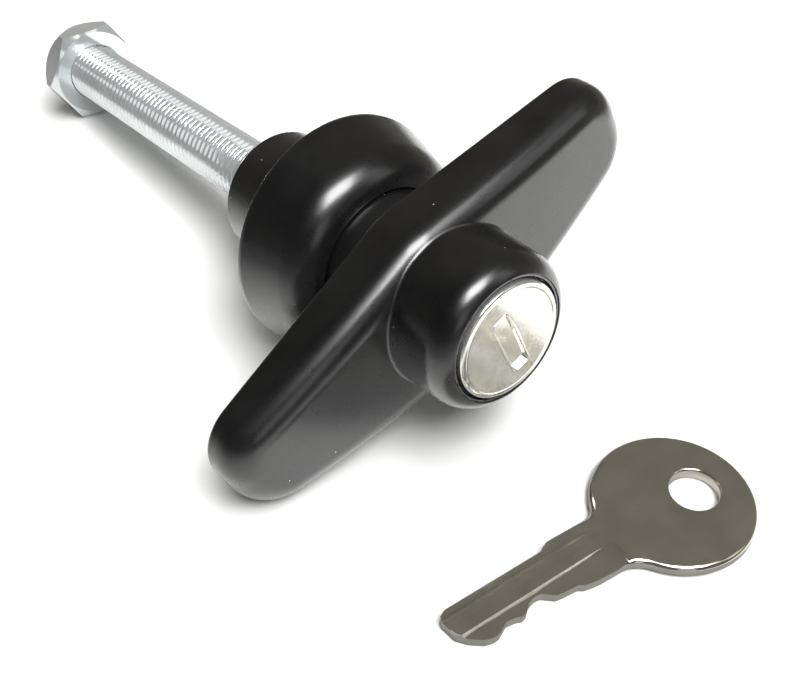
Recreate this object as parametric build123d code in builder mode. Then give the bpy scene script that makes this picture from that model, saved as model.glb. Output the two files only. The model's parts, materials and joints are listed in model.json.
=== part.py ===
from build123d import *
import os
from math import acos, asin, atan2, cos, degrees, hypot, radians, sin, sqrt, tan

# Free-wheeling T-handle lock, lying on a table with its key beside it, in millimetres.
# The origin is the centre of the bell's rear face, the seat on the panel, on the lock's axis.
# +Z is up from the table and the nose of the handle points along -Y, tilted up a little.
# A station is a distance from that seat along the axis: plus towards the nose, minus towards the nut.

# Bell, the round cover between the handle and the panel
bell_radius = 18.0
bell_height = 11.3
bell_lean = 16.0
bell_rim_land = 0.8
bell_rim_edge = 0.25
bell_front_rounding = 6.0
bell_mouth_radius = 11.25
bell_mouth_depth = 0.9
bell_bore_length = 7.8

# Collar, the bush that goes through the panel
collar_radius = 9.85
collar_length = 15.7
collar_bore_radius = 8.6
collar_floor = 2.5
collar_flange_radius = 13.9
collar_flange_thickness = 1.6
collar_flange_recess = 0.2
collar_edge = 0.5

# Handle
bar_rear_station = 17.1
bar_depth = 8.8
bar_half_length = 37.9
bar_centre_radius = 13.7
bar_tip_radius = 7.5
bar_tip_flat = 2.4
bar_tip_setback = 2.7
bar_draft = 2.0
bar_rear_edge = 0.5
bar_front_rounding = 4.1
hub_radius = 11.75
hub_draft = 1.5
hub_nose_station = 35.9
hub_nose_rounding = 4.0
hub_bore_radius = 9.25
neck_radius = 10.9
neck_bore_radius = 8.4
neck_end_station = 2.0
neck_lip_radius = 6.8
neck_lip_thickness = 1.2
keyway_width = 3.2
keyway_depth = 1.3
snap_ring_thickness = 0.8
snap_ring_depth = 0.75
snap_ring_land = 0.6
snap_ring_width = 2.05
snap_ring_gap = 7.0

# Stud, nut and the drive between the handle and the stud
stud_radius = 5.0
thread_pitch = 1.25
thread_root_radius = 4.25
thread_crest = 0.16
thread_runout = 0.4
stud_shank_radius = 4.9
stud_end_chamfer = 0.8
nut_across_flats = 16.0
nut_thickness = 5.4
nut_station = -76.7
nut_chamfer_angle = 30.0
nut_face_radius = 7.7
nut_rear_chamfer_angle = 62.0
nut_rear_face_radius = 7.6
driver_face_gap = 0.4
driver_disc_thickness = 4.6
driver_hub_radius = 7.0
driver_notch_width = 3.8
driver_notch_depth = 3.2
driver_web = 1.3
driver_pin_radius = 1.25
driver_pin_station = -7.5
driver_pin_recess = 0.2
thrust_washer_thickness = 1.0
thrust_washer_radius = 8.3
slider_thickness = 2.8
slider_travel = 3.0
slider_dog_width = 3.2
slider_dog_inner = 4.2
slider_dog_outer = 6.4
slider_pad_inner = 3.8
slider_pad_outer = 6.0
slider_pad_width = 1.2
slider_pad_gap = 0.55
spring_radius = 3.1
spring_wire = 0.7
spring_pocket_radius = 3.4
spring_pocket_depth = 1.8

# Lock cylinder
housing_length = 16.9
housing_radius = 9.2
housing_rim_station = 35.75
housing_rim_thickness = 0.25
housing_nick_width = 0.4
housing_nick_angles = [64, 111, 174]
wafer_groove_width = 7.6
wafer_groove_radius = 7.7
plug_radius = 6.6
plug_head_radius = 8.0
plug_head_station = 33.4
plug_head_thickness = 2.25
plug_tail_square = 5.0
plug_end_length = 1.4
keyway_slot_width = 2.4
keyway_slot_height = 8.0
keyway_slot_offset = -0.4
wafer_count = 5
wafer_pitch = 3.0
wafer_first_setback = 3.0
wafer_thickness = 1.0
wafer_width = 7.2
wafer_height = 10.8
wafer_window_width = 3.0
wafer_window_height = 8.3
wafer_travel = 0.7
wafer_lug_length = 1.4
wafer_lug_height = 1.0
wafer_lug_y = -0.1
wafer_spring_length = 2.6
wafer_spring_radius = 0.45
plug_clip_thickness = 0.8
plug_clip_radius = 7.6
plug_clip_depth = 0.7
plug_clip_gap = 8.0
cam_radius = 6.9
cam_thickness = 1.5
cam_ramp_start = 0.6
cam_ramp_inner = 3.6
cam_ramp_outer = 6.4
cam_ramp_lead = 10.0
cam_ramp_steps = 10
cam_turn = 90.0
cam_screw_head_radius = 3.3
cam_screw_head_thickness = 1.2
cam_screw_radius = 1.25
cam_screw_length = 2.6
cylinder_pin_radius = 1.0
cylinder_pin_length = 5.1
cylinder_pin_recess = 0.7
cylinder_pin_station = 21.3

# Cap over the plug, with the key slot and the dust shutter behind it
cap_radius = 8.55
cap_station = 36.3
cap_skirt_length = 1.9
cap_face_thickness = 0.6
cap_rim_width = 0.9
cap_skirt_thickness = 0.5
cap_dish_depth = 0.3
cap_edge = 0.5
slot_width = 2.7
slot_length = 9.9
slot_offset = -0.7
slot_corner = 0.5
slot_lip_width = 0.35
slot_lip_height = 0.22
shutter_thickness = 0.5
shutter_overlap = 0.2
shutter_hinge_inset = 0.05
shutter_pin_radius = 0.35
shutter_pin_length = 12.0
shutter_barrel_radius = 0.65
shutter_spring_length = 1.6

# Key, lying flat on the table
key_x = 12.9
key_y = -58.0
key_turn = -4.6
key_thickness = 2.0
key_bow_x = -1.1
key_bow_radius = 11.45
key_hole_radius = 3.45
key_hole_x = 2.5
key_hole_y = -0.5
key_blade_outline = [
    (0, 4.6),
    (-19.9, 4.35),
    (-21.4, 3.6),
    (-37.2, 3.65),
    (-38.2, 2.8),
    (-37.9, 0.2),
    (-35.3, -2.4),
    (-33.3, -2.8),
    (-31.5, -1.9),
    (-30.1, -2.1),
    (-29.0, -2.5),
    (-27.5, -1.4),
    (-25.4, -1.2),
    (-23.9, -2.5),
    (-22.7, -2.7),
    (-20.6, -2.9),
    (-19.9, -3.4),
    (-17.5, -3.8),
    (0, -4.3),
]
key_tip_x = -38.2
key_groove_depth = 0.45
key_groove_end = -14.2
key_groove_point = 0.6
key_groove_point_y = 1.9
key_groove_top = 2.7
key_groove_low = 0.9
key_groove_low_at_tip = 2.1
key_step_end = -15.0
key_step_drop = 1.0
key_edge = 0.25

# Fits
running = 0.07
snug = 0.02
washer_play = 0.1


# Stations and radii that follow from the sizes above
nut_far_station = nut_station - nut_thickness
bar_front_station = bar_rear_station + bar_depth
housing_front = plug_head_station - washer_play
housing_rear = housing_front - housing_length
collar_front = collar_flange_recess + collar_flange_thickness
collar_floor_front = collar_floor - collar_length
snap_ring_inner = neck_radius - snap_ring_depth + snug
snap_ring_outer = snap_ring_inner + snap_ring_width
driver_face = neck_end_station - driver_face_gap
driver_rear = collar_floor_front + thrust_washer_thickness + 2 * washer_play
driver_notch_floor = driver_face - driver_notch_depth
stud_front = driver_notch_floor - driver_web
plug_rear = housing_rear - plug_end_length
plug_front = plug_head_station + plug_head_thickness
cam_rear = plug_rear - cam_thickness - washer_play
cam_ramp_rise = slider_travel
slider_front = cam_rear - cam_ramp_start - cam_ramp_rise - driver_face_gap
slider_rear = slider_front - slider_thickness
cap_inner = cap_station - cap_face_thickness
wafer_slot = wafer_thickness + washer_play
wafer_pocket_top = wafer_lug_y + wafer_lug_height / 2 + wafer_travel + 2 * washer_play
wafer_spring_top = wafer_lug_y - wafer_lug_height / 2
wafer_pocket_floor = wafer_spring_top - wafer_spring_length - washer_play
wafer_stations = [
    plug_head_station - wafer_first_setback - wafer_pitch * index for index in range(wafer_count)
]

# Pose on the table: the bell's rim, a flat of the nut and one tip of the bar touch it
nut_rear_drop = (nut_across_flats / 2 - nut_rear_face_radius) * tan(radians(nut_rear_chamfer_angle))
nut_rest_station = nut_far_station + nut_rear_drop
axis_tilt = atan2(bell_radius - nut_across_flats / 2, -nut_rest_station)
table_z = -bell_radius * cos(axis_tilt)
tip_x = bar_half_length - bar_tip_radius
tip_y = bar_tip_flat / 2
tip_reach = bell_radius + (bar_rear_station + bar_rear_edge) * tan(axis_tilt) - bar_tip_radius
bar_turn = asin(tip_reach / hypot(tip_x, tip_y)) - atan2(tip_y, tip_x)

nose = Vector(0, -cos(axis_tilt), sin(axis_tilt))
raised = Vector(0, sin(axis_tilt), cos(axis_tilt))
along_bar = Vector(cos(bar_turn), 0, 0) + raised * sin(bar_turn)
across_bar = raised * cos(bar_turn) - Vector(sin(bar_turn), 0, 0)
lock_axis = Axis((0, 0, 0), nose)
# On "lock" x runs along the bar and y across it; "level" has its x level with the table
lock = Plane((0, 0, 0), x_dir=along_bar, z_dir=nose)
level = Plane((0, 0, 0), x_dir=(1, 0, 0), z_dir=nose)
# On "section" x is the radius along the bar and y the station; its offsets go below the bar
section = Plane((0, 0, 0), x_dir=along_bar, z_dir=-across_bar)
driver_cross = Plane(nose * driver_pin_station, x_dir=nose, z_dir=along_bar)
key_table = Plane((key_x, key_y, table_z), x_dir=Vector(1, 0, 0).rotate(Axis.Z, key_turn))

os.makedirs("parts", exist_ok=True)


def save(builder, name):
    builder.part.label = name
    export_step(builder.part, f"parts/{name}.step")


# Where a wall leaning in from its foot must end so that a rounding tangent to it stops at the mouth
def wall_end(foot, lean, rounding, mouth):
    along_wall = Vector(-sin(radians(lean)), cos(radians(lean)))
    into_wall = Vector(-cos(radians(lean)), -sin(radians(lean)))
    reach = Vector(*mouth) - Vector(*foot)
    depth = reach.dot(into_wall)
    length = reach.dot(along_wall) - sqrt(depth * (2 * rounding - depth))
    return (foot[0] + along_wall.X * length, foot[1] + along_wall.Y * length)


# Bell: a turned cover with a broad rounded front, bored for the neck and recessed for the collar
with BuildPart() as bell:
    bell_foot = (bell_radius, bell_rim_land)
    bell_mouth = (bell_mouth_radius, bell_height)
    bell_wall_end = wall_end(bell_foot, bell_lean, bell_front_rounding, bell_mouth)
    with BuildSketch(section):
        with BuildLine():
            Polyline((0, bell_height), (0, 0), (bell_radius, 0), bell_foot)
            bell_wall = Line(bell_foot, bell_wall_end)
            TangentArc(bell_wall_end, bell_mouth, tangent=bell_wall % 1)
            Line(bell_mouth, (0, bell_height))
        make_face()
    revolve(axis=lock_axis)
    fillet(bell.edges().filter_by(GeomType.CIRCLE).sort_by(lock_axis)[0], radius=bell_rim_edge)
    with BuildSketch(lock):
        Circle(neck_radius + running)
    extrude(amount=bell_height, mode=Mode.SUBTRACT)
    with BuildSketch(lock.offset(bell_height)):
        Circle(bell_mouth_radius)
    extrude(amount=-bell_mouth_depth, mode=Mode.SUBTRACT)
    with BuildSketch(lock):
        Circle(snap_ring_outer + running)
    extrude(amount=bell_height - bell_bore_length, mode=Mode.SUBTRACT)
    with BuildSketch(lock):
        Circle(collar_flange_radius + snug)
    extrude(amount=collar_front, mode=Mode.SUBTRACT)
save(bell, "bell")

# Collar: a flanged tube whose floor carries the stud
with BuildPart() as collar:
    with BuildSketch(lock.offset(-collar_length)):
        Circle(collar_radius)
    extrude(amount=collar_length + collar_front)
    collar_rear_edge = collar.edges().filter_by(GeomType.CIRCLE).sort_by(lock_axis)[0]
    chamfer(collar_rear_edge, length=collar_edge)
    with BuildSketch(lock.offset(collar_flange_recess)):
        Circle(collar_flange_radius)
    extrude(amount=collar_flange_thickness)
    with BuildSketch(lock.offset(collar_floor_front)):
        Circle(collar_bore_radius)
    extrude(amount=collar_front - collar_floor_front, mode=Mode.SUBTRACT)
    with BuildSketch(lock.offset(-collar_length)):
        Circle(stud_radius + running)
    extrude(amount=collar_floor, mode=Mode.SUBTRACT)
save(collar, "collar")

# Handle: bar, hub and neck in one casting
with BuildPart() as handle:
    # The bar's outline is a middle circle joined to two blunt tips by tangent lines
    tangent = degrees(atan2(tip_y, tip_x) + acos((bar_centre_radius - bar_tip_radius) / hypot(tip_x, tip_y)))
    with BuildSketch(lock.offset(bar_rear_station)):
        with BuildLine():
            right_tip = CenterArc((tip_x, tip_y), bar_tip_radius, 0, tangent)
            middle = CenterArc((0, 0), bar_centre_radius, tangent, 180 - 2 * tangent)
            left_tip = CenterArc((-tip_x, tip_y), bar_tip_radius, 180 - tangent, tangent)
            right_side = Line(right_tip @ 1, middle @ 0)
            left_side = Line(middle @ 1, left_tip @ 0)
            mirror([right_tip, middle, left_tip, right_side, left_side], about=Plane.XZ)
            for end in (right_tip @ 0, left_tip @ 1):
                Line(end, (end.X, -end.Y))
        make_face()
    extrude(amount=2 * bar_depth, taper=bar_draft)
    # The front of the bar is a shallow arc that falls back towards both tips
    with BuildSketch(section.offset(-bar_centre_radius)):
        with BuildLine():
            front_arc = ThreePointArc(
                (-bar_half_length, bar_front_station - bar_tip_setback),
                (0, bar_front_station),
                (bar_half_length, bar_front_station - bar_tip_setback),
            )
            Polyline(
                front_arc @ 1,
                (bar_half_length, bar_rear_station),
                (-bar_half_length, bar_rear_station),
                front_arc @ 0,
            )
        make_face()
    extrude(amount=2 * bar_centre_radius, mode=Mode.INTERSECT)
    fillet(handle.faces().sort_by(lock_axis)[-1].edges(), radius=bar_front_rounding)
    fillet(handle.faces().sort_by(lock_axis)[0].edges(), radius=bar_rear_edge)
    # The hub and its rounded nose
    with BuildSketch(section):
        with BuildLine():
            hub_root = bar_rear_station + bar_depth / 2
            hub_foot = (hub_radius + bar_depth / 2 * tan(radians(hub_draft)), hub_root)
            hub_mouth = (hub_bore_radius, hub_nose_station)
            hub_wall_end = wall_end(hub_foot, hub_draft, hub_nose_rounding, hub_mouth)
            hub_wall = Line(hub_foot, hub_wall_end)
            TangentArc(hub_wall_end, hub_mouth, tangent=hub_wall % 1)
            Polyline(hub_mouth, (0, hub_nose_station), (0, hub_root), hub_foot)
        make_face()
    revolve(axis=lock_axis)
    with BuildSketch(lock.offset(neck_end_station)):
        Circle(neck_radius)
    extrude(amount=bar_rear_station - neck_end_station)
    # Bores for the lock cylinder and the slider, from the nose, and the lip that the driver stops on
    with BuildSketch(lock.offset(housing_rear)):
        Circle(hub_bore_radius)
    extrude(amount=hub_nose_station - housing_rear, mode=Mode.SUBTRACT)
    with BuildSketch(lock.offset(neck_end_station + neck_lip_thickness)):
        Circle(neck_bore_radius)
        Rectangle(2 * (neck_bore_radius + keyway_depth), keyway_width)
    extrude(amount=housing_rear - neck_end_station - neck_lip_thickness, mode=Mode.SUBTRACT)
    with BuildSketch(lock.offset(neck_end_station)):
        Circle(neck_lip_radius)
    extrude(amount=neck_lip_thickness, mode=Mode.SUBTRACT)
    with BuildSketch(lock.offset(neck_end_station + snap_ring_land)):
        Circle(neck_radius + snug)
        Circle(neck_radius - snap_ring_depth, mode=Mode.SUBTRACT)
    extrude(amount=snap_ring_thickness + snug, mode=Mode.SUBTRACT)
    with BuildSketch(section.offset(housing_radius)):
        with Locations((0, cylinder_pin_station)):
            Circle(cylinder_pin_radius + snug)
    extrude(amount=bar_centre_radius, mode=Mode.SUBTRACT)
save(handle, "handle")

# Snap ring that holds the neck in the bell
with BuildPart() as snap_ring:
    with BuildSketch(lock.offset(neck_end_station + snap_ring_land)):
        Circle(snap_ring_outer)
        Circle(snap_ring_inner, mode=Mode.SUBTRACT)
        with Locations((0, -snap_ring_outer)):
            Rectangle(snap_ring_gap, 2 * snap_ring_width + snap_ring_gap, mode=Mode.SUBTRACT)
    extrude(amount=snap_ring_thickness)
save(snap_ring, "snap_ring")

# Stud: plain shank in the driver, then a thread of rings at the true pitch
with BuildPart() as stud:
    thread_start = -collar_length - thread_runout
    thread_turns = int((thread_start - nut_far_station - stud_end_chamfer) / thread_pitch)
    flank = (thread_pitch - 2 * thread_crest) / 2
    profile = [
        (0, stud_front),
        (stud_shank_radius, stud_front),
        (stud_shank_radius, collar_floor_front + thrust_washer_thickness),
        (stud_radius, collar_floor_front + thrust_washer_thickness),
    ]
    for turn in range(thread_turns):
        station = thread_start - turn * thread_pitch
        profile += [
            (stud_radius, station),
            (thread_root_radius, station - flank),
            (thread_root_radius, station - flank - thread_crest),
            (stud_radius, station - thread_pitch + thread_crest),
        ]
    profile += [
        (stud_radius, nut_far_station + stud_end_chamfer),
        (stud_radius - stud_end_chamfer, nut_far_station),
        (0, nut_far_station),
    ]
    with BuildSketch(section):
        with BuildLine():
            Polyline(profile, close=True)
        make_face()
    revolve(axis=lock_axis)
    with BuildSketch(driver_cross):
        Circle(driver_pin_radius + snug)
    extrude(amount=driver_hub_radius, both=True, mode=Mode.SUBTRACT)
save(stud, "stud")

# Nut, with one flat on the table side
with BuildPart() as nut:
    with BuildSketch(level.offset(nut_far_station)):
        RegularPolygon(nut_across_flats / 2, 6, major_radius=False)
    extrude(amount=nut_thickness)
    corner_radius = nut_across_flats / 2 / cos(radians(30))
    corner_drop = (corner_radius - nut_face_radius) * tan(radians(nut_chamfer_angle))
    rear_corner_drop = (corner_radius - nut_rear_face_radius) * tan(radians(nut_rear_chamfer_angle))
    with BuildSketch(section):
        with BuildLine():
            Polyline(
                (0, nut_far_station),
                (nut_rear_face_radius, nut_far_station),
                (corner_radius, nut_far_station + rear_corner_drop),
                (corner_radius, nut_station - corner_drop),
                (nut_face_radius, nut_station),
                (0, nut_station),
                close=True,
            )
        make_face()
    revolve(axis=lock_axis, mode=Mode.INTERSECT)
    with BuildSketch(lock.offset(nut_far_station)):
        Circle(stud_radius + running)
    extrude(amount=nut_thickness, mode=Mode.SUBTRACT)
save(nut, "nut")

# Driver: the notched head pinned to the stud
with BuildPart() as driver:
    with BuildSketch(lock.offset(driver_face - driver_disc_thickness)):
        Circle(collar_bore_radius - running)
    extrude(amount=driver_disc_thickness)
    with BuildSketch(lock.offset(driver_rear)):
        Circle(driver_hub_radius)
    extrude(amount=driver_face - driver_disc_thickness - driver_rear)
    with BuildSketch(lock.offset(driver_notch_floor)):
        Rectangle(2 * collar_bore_radius, driver_notch_width)
        Rectangle(driver_notch_width, 2 * collar_bore_radius)
        Circle(spring_pocket_radius)
    extrude(amount=driver_notch_depth, mode=Mode.SUBTRACT)
    with BuildSketch(lock.offset(driver_rear)):
        Circle(stud_shank_radius + snug)
    extrude(amount=stud_front - driver_rear, mode=Mode.SUBTRACT)
    with BuildSketch(driver_cross):
        Circle(driver_pin_radius + snug)
    extrude(amount=driver_hub_radius, both=True, mode=Mode.SUBTRACT)
save(driver, "driver")

with BuildPart() as driver_pin:
    with BuildSketch(driver_cross):
        Circle(driver_pin_radius)
    extrude(amount=driver_hub_radius - driver_pin_recess, both=True)
save(driver_pin, "driver_pin")

with BuildPart() as thrust_washer:
    with BuildSketch(lock.offset(collar_floor_front + washer_play)):
        Circle(thrust_washer_radius)
        Circle(stud_radius + running, mode=Mode.SUBTRACT)
    extrude(amount=thrust_washer_thickness)
save(thrust_washer, "thrust_washer")

# Slider: keyed in the neck, its pads ride on the cam and its dogs reach for the driver's notches
with BuildPart() as slider:
    with BuildSketch(lock.offset(slider_rear)):
        Circle(neck_bore_radius - running)
        Rectangle(2 * (neck_bore_radius + keyway_depth - washer_play), keyway_width - 2 * washer_play)
    extrude(amount=slider_thickness)
    with BuildSketch(lock.offset(slider_rear)):
        with GridLocations(0, slider_dog_inner + slider_dog_outer, 1, 2):
            Rectangle(slider_dog_width, slider_dog_outer - slider_dog_inner)
    extrude(amount=neck_end_station - slider_rear)
    with BuildSketch(lock.offset(slider_front)):
        with GridLocations(0, slider_pad_inner + slider_pad_outer, 1, 2):
            Rectangle(slider_pad_width, slider_pad_outer - slider_pad_inner)
    extrude(amount=cam_rear - cam_ramp_start - slider_pad_gap - slider_front)
    with BuildSketch(lock.offset(slider_rear)):
        Circle(spring_pocket_radius)
    extrude(amount=spring_pocket_depth, mode=Mode.SUBTRACT)
save(slider, "slider")

# Return spring of the slider, a plain sleeve at its compressed length
with BuildPart() as slider_spring:
    spring_seat = slider_rear + spring_pocket_depth
    spring_length = spring_seat - slider_travel - driver_notch_floor - 2 * washer_play
    with BuildSketch(lock.offset(spring_seat - snug)):
        Circle(spring_radius)
        Circle(spring_radius - spring_wire, mode=Mode.SUBTRACT)
    extrude(amount=-spring_length)
save(slider_spring, "slider_spring")

# Housing of the lock cylinder, with grooves for the wafers at the locked and the turned place
with BuildPart() as housing:
    with BuildSketch(lock.offset(housing_rear)):
        Circle(housing_radius)
        Circle(plug_radius + running, mode=Mode.SUBTRACT)
    extrude(amount=housing_length)
    # A thin rim round the plug's head, with three small nicks
    with BuildSketch(lock.offset(housing_front)):
        Circle(housing_radius)
        Circle(housing_radius - housing_rim_thickness, mode=Mode.SUBTRACT)
        for angle in housing_nick_angles:
            with Locations(Vector(housing_radius, 0).rotate(Axis.Z, angle)):
                Circle(housing_nick_width / 2, mode=Mode.SUBTRACT)
    extrude(amount=housing_rim_station - housing_front)
    with BuildSketch(lock.offset(wafer_stations[-1] - wafer_slot)):
        Rectangle(wafer_groove_width, 2 * wafer_groove_radius)
        Rectangle(2 * wafer_groove_radius, wafer_groove_width)
    extrude(amount=wafer_stations[0] - wafer_stations[-1] + 2 * wafer_slot, mode=Mode.SUBTRACT)
    with BuildSketch(section.offset(wafer_groove_radius)):
        with Locations((0, cylinder_pin_station)):
            Circle(cylinder_pin_radius + snug)
    extrude(amount=housing_radius, mode=Mode.SUBTRACT)
save(housing, "housing")

with BuildPart() as cylinder_pin:
    with BuildSketch(section.offset(bar_centre_radius - cylinder_pin_recess)):
        with Locations((0, cylinder_pin_station)):
            Circle(cylinder_pin_radius)
    extrude(amount=-cylinder_pin_length)
save(cylinder_pin, "cylinder_pin")

# Plug: turned by the key, slotted for the wafers and hollowed for the shutter
shutter_x = -slot_width / 2 - shutter_barrel_radius + shutter_hinge_inset
shutter_station = cap_inner - washer_play / 2 - shutter_barrel_radius
shutter_width = slot_width / 2 + shutter_overlap - shutter_x
shutter_length = slot_length + 2 * shutter_overlap
shutter_pocket_x = shutter_x - shutter_barrel_radius - washer_play
shutter_pocket_width = shutter_barrel_radius + shutter_width + 2 * washer_play
shutter_depth = shutter_station - shutter_width - washer_play
with BuildPart() as plug:
    with BuildSketch(lock.offset(plug_rear)):
        Circle(plug_radius)
    extrude(amount=plug_head_station - plug_rear)
    with BuildSketch(lock.offset(plug_head_station)):
        Circle(plug_head_radius)
    extrude(amount=plug_head_thickness)
    with BuildSketch(lock.offset(cam_rear)):
        Rectangle(plug_tail_square, plug_tail_square)
    extrude(amount=plug_rear - cam_rear)
    with BuildSketch(lock.offset(cam_rear)):
        Circle(cam_screw_radius + snug)
    extrude(amount=cam_screw_length + washer_play, mode=Mode.SUBTRACT)
    with BuildSketch(lock.offset(housing_rear - washer_play - plug_clip_thickness)):
        Circle(plug_radius + snug)
        Circle(plug_radius - plug_clip_depth, mode=Mode.SUBTRACT)
    extrude(amount=plug_clip_thickness, mode=Mode.SUBTRACT)
    with BuildSketch(lock.offset(wafer_stations[-1] - wafer_slot)):
        with Locations((0, keyway_slot_offset)):
            Rectangle(keyway_slot_width, keyway_slot_height)
    extrude(amount=plug_front - wafer_stations[-1] + wafer_slot, mode=Mode.SUBTRACT)
    for station in wafer_stations:
        with BuildSketch(lock.offset(station - wafer_slot / 2)):
            Rectangle(wafer_width + washer_play, 2 * plug_radius)
            with Locations((wafer_width / 2, (wafer_pocket_top + wafer_pocket_floor) / 2)):
                Rectangle(2 * (wafer_lug_length + washer_play), wafer_pocket_top - wafer_pocket_floor)
        extrude(amount=wafer_slot, mode=Mode.SUBTRACT)
    # Room for the shutter's swing, from shut under the cap to open beside the keyway
    with BuildSketch(lock.offset(shutter_depth)):
        with Locations((shutter_pocket_x + shutter_pocket_width / 2, slot_offset)):
            Rectangle(shutter_pocket_width, shutter_length + 2 * washer_play)
    extrude(amount=plug_front - shutter_depth, mode=Mode.SUBTRACT)
    with BuildSketch(section.offset(-slot_offset)):
        with Locations((shutter_x, shutter_station)):
            Circle(shutter_pin_radius + snug)
    extrude(amount=shutter_pin_length / 2, both=True, mode=Mode.SUBTRACT)
save(plug, "plug")

# Wafers with their key windows, at the height where they let the plug turn
for index, station in enumerate(wafer_stations):
    with BuildPart() as wafer:
        with BuildSketch(lock.offset(station - wafer_thickness / 2)):
            Rectangle(wafer_width, wafer_height)
            with Locations((wafer_width / 2 + wafer_lug_length / 2, wafer_lug_y)):
                Rectangle(wafer_lug_length, wafer_lug_height)
            with Locations((0, keyway_slot_offset)):
                Rectangle(wafer_window_width, wafer_window_height, mode=Mode.SUBTRACT)
        extrude(amount=wafer_thickness)
    save(wafer, f"wafer_{index + 1}")

with BuildPart() as wafer_springs:
    for station in wafer_stations:
        spring_top = Plane(nose * station, x_dir=along_bar, z_dir=across_bar).offset(wafer_spring_top)
        with BuildSketch(spring_top):
            with Locations(((wafer_width + wafer_lug_length) / 2, 0)):
                Circle(wafer_spring_radius)
        extrude(amount=-wafer_spring_length)
save(wafer_springs, "wafer_springs")

with BuildPart() as plug_clip:
    with BuildSketch(lock.offset(housing_rear - washer_play - plug_clip_thickness)):
        Circle(plug_clip_radius)
        Circle(plug_radius - plug_clip_depth + snug, mode=Mode.SUBTRACT)
        with Locations((0, -plug_clip_radius)):
            Rectangle(plug_clip_gap, plug_clip_radius, mode=Mode.SUBTRACT)
    extrude(amount=plug_clip_thickness)
save(plug_clip, "plug_clip")

# Cam: two ramps that push the slider down as the plug turns
with BuildPart() as cam:
    for first_angle in (90, 270):
        ramp_angles = [-cam_ramp_lead]
        ramp_angles += [cam_turn * step / cam_ramp_steps for step in range(cam_ramp_steps + 1)]
        ramp_angles += [cam_turn + cam_ramp_lead]
        for angle in ramp_angles:
            rise = cam_ramp_start + cam_ramp_rise * min(max(angle / cam_turn, 0), 1)
            bearing = radians(first_angle + angle)
            spoke = along_bar * cos(bearing) + across_bar * sin(bearing)
            with BuildSketch(Plane((0, 0, 0), x_dir=spoke, z_dir=spoke.cross(nose))):
                with Locations(((cam_ramp_inner + cam_ramp_outer) / 2, cam_rear - rise / 2)):
                    Rectangle(cam_ramp_outer - cam_ramp_inner, rise)
        loft(ruled=True)
    with BuildSketch(lock.offset(cam_rear)):
        Circle(cam_radius)
        Rectangle(plug_tail_square + 2 * snug, plug_tail_square + 2 * snug, mode=Mode.SUBTRACT)
    extrude(amount=cam_thickness)
save(cam, "cam")

with BuildPart() as cam_screw:
    with BuildSketch(lock.offset(cam_rear - cam_screw_head_thickness)):
        Circle(cam_screw_head_radius)
    extrude(amount=cam_screw_head_thickness)
    with BuildSketch(lock.offset(cam_rear)):
        Circle(cam_screw_radius)
    extrude(amount=cam_screw_length)
save(cam_screw, "cam_screw")

# Cap: pressed sheet round the plug's head, dished, with a lipped key slot
with BuildPart() as face_cap:
    with BuildSketch(lock.offset(cap_station - cap_skirt_length)):
        Circle(cap_radius)
    extrude(amount=cap_skirt_length)
    cap_front_edge = face_cap.edges().filter_by(GeomType.CIRCLE).sort_by(lock_axis)[-1]
    fillet(cap_front_edge, radius=cap_edge)
    dish_radius = cap_radius - cap_rim_width
    dish_sphere = (dish_radius**2 + cap_dish_depth**2) / (2 * cap_dish_depth)
    with Locations(lock.offset(cap_station - cap_dish_depth + dish_sphere)):
        Sphere(dish_sphere, mode=Mode.SUBTRACT)
    with BuildSketch(lock.offset(cap_inner)):
        with Locations((0, slot_offset)):
            RectangleRounded(
                slot_width + 2 * slot_lip_width,
                slot_length + 2 * slot_lip_width,
                slot_corner + slot_lip_width,
            )
    extrude(amount=cap_face_thickness - cap_dish_depth + slot_lip_height)
    with BuildSketch(lock.offset(cap_station - cap_skirt_length)):
        Circle(cap_radius - cap_skirt_thickness)
    extrude(amount=cap_skirt_length - cap_face_thickness, mode=Mode.SUBTRACT)
    with BuildSketch(lock.offset(cap_inner)):
        with Locations((0, slot_offset)):
            RectangleRounded(slot_width, slot_length, slot_corner)
    extrude(amount=cap_face_thickness, mode=Mode.SUBTRACT)
save(face_cap, "face_cap")

# Dust shutter behind the slot, hinged along its side on a pin
hinge_middle = Plane(nose * shutter_station, x_dir=along_bar, z_dir=across_bar)
hinge_end = hinge_middle.offset(slot_offset - shutter_length / 2)
barrel_length = shutter_length - shutter_spring_length
with BuildPart() as shutter:
    with BuildSketch(hinge_end):
        with Locations((shutter_x, 0)):
            Circle(shutter_barrel_radius)
    extrude(amount=barrel_length)
    blade_front = shutter_station + shutter_barrel_radius - shutter_thickness
    with BuildSketch(lock.offset(blade_front)):
        with Locations((shutter_x + shutter_width / 2, slot_offset - shutter_spring_length / 2)):
            Rectangle(shutter_width, barrel_length)
        with Locations((shutter_x + shutter_width, slot_offset)):
            Rectangle(slot_width, shutter_length, align=(Align.MAX, Align.CENTER))
    extrude(amount=shutter_thickness)
    with BuildSketch(hinge_end):
        with Locations((shutter_x, 0)):
            Circle(shutter_pin_radius + snug)
    extrude(amount=barrel_length, mode=Mode.SUBTRACT)
save(shutter, "shutter")

with BuildPart() as shutter_pin:
    with BuildSketch(section.offset(-slot_offset)):
        with Locations((shutter_x, shutter_station)):
            Circle(shutter_pin_radius)
    extrude(amount=shutter_pin_length / 2, both=True)
save(shutter_pin, "shutter_pin")

with BuildPart() as shutter_spring:
    with BuildSketch(hinge_end.offset(barrel_length + washer_play)):
        with Locations((shutter_x, 0)):
            Circle(shutter_barrel_radius)
            Circle(shutter_pin_radius + snug, mode=Mode.SUBTRACT)
    extrude(amount=shutter_spring_length - 2 * washer_play)
save(shutter_spring, "shutter_spring")

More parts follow.
